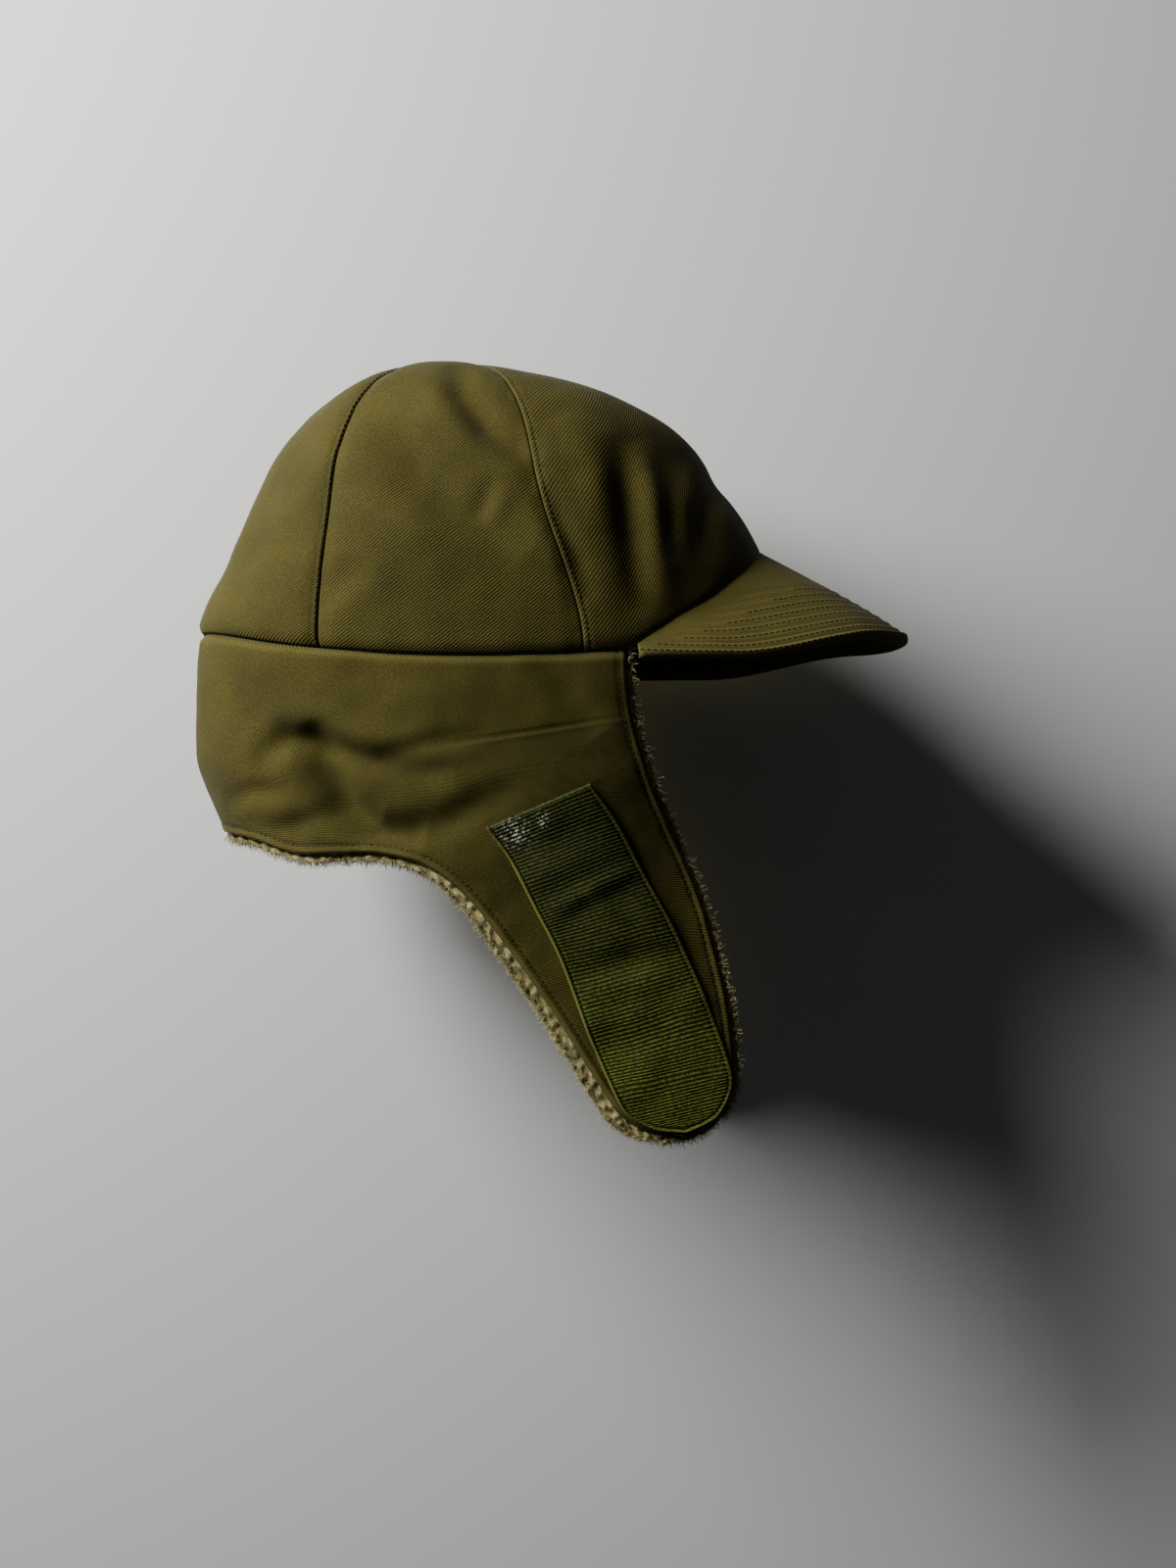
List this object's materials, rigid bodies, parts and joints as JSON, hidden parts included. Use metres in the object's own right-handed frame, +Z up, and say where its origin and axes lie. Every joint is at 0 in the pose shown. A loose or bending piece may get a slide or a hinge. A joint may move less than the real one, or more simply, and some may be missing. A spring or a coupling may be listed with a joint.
{
  "type": "trapper hat",
  "caption": "Cloth winter hat with a round six-gore crown, a deep neck curtain, a pile lining, ear flaps with hook-and-loop tape and an arched visor.",
  "frame": {"origin": "middle of the head opening, level with the seam between crown and curtain", "axes": "+X is forward towards the visor, +Y is the wearer's left, +Z is up, as the hat is worn"},
  "size_m": [0.3039, 0.1575, 0.3175],
  "materials": {
    "shell_twill": "dull cotton and nylon twill",
    "wadding": "matt polyester wadding",
    "lining_cloth": "smooth quilted lining cloth",
    "pile_lining": "matt curly pile",
    "loop_tape": "fuzzy ribbed loop tape",
    "hook_tape": "matt hook tape",
    "visor_board": "matt plastic board",
    "sweatband": "soft cotton band",
    "label": "plain woven label"
  },
  "bodies": {
    "cap": {"crown_shell_front_right": "shell_twill", "crown_wadding_front_right": "wadding", "crown_lining_front_right": "lining_cloth", "crown_shell_side_right": "shell_twill", "crown_wadding_side_right": "wadding", "crown_lining_side_right": "lining_cloth", "crown_shell_rear_right": "shell_twill", "crown_wadding_rear_right": "wadding", "crown_lining_rear_right": "lining_cloth", "curtain_shell_right": "shell_twill", "curtain_lining_right": "pile_lining", "crown_shell_front_left": "shell_twill", "crown_wadding_front_left": "wadding", "crown_lining_front_left": "lining_cloth", "crown_shell_side_left": "shell_twill", "crown_wadding_side_left": "wadding", "crown_lining_side_left": "lining_cloth", "crown_shell_rear_left": "shell_twill", "crown_wadding_rear_left": "wadding", "crown_lining_rear_left": "lining_cloth", "curtain_shell_left": "shell_twill", "curtain_lining_left": "pile_lining", "visor_top_cover": "shell_twill", "visor_board": "visor_board", "visor_under_cover": "shell_twill", "forehead_sweatband": "sweatband", "size_label": "label"},
    "right_flap": {"flap_shell_right": "shell_twill", "flap_lining_right": "pile_lining", "loop_tape_right": "loop_tape"},
    "left_flap": {"flap_shell_left": "shell_twill", "flap_lining_left": "pile_lining", "hook_tape_left": "hook_tape"}
  },
  "joints": [
    {"name": "right_flap_fold", "type": "hinge", "parent": "cap", "child": "right_flap", "pos_m": [0.021, -0.08088, -0.0645], "axis": [-0.9182, -0.0447, -0.3935], "range_deg": [-20, 165]},
    {"name": "left_flap_fold", "type": "hinge", "parent": "cap", "child": "left_flap", "pos_m": [0.021, 0.08088, -0.0645], "axis": [0.9182, -0.0447, 0.3935], "range_deg": [-20, 165]}
  ]
}
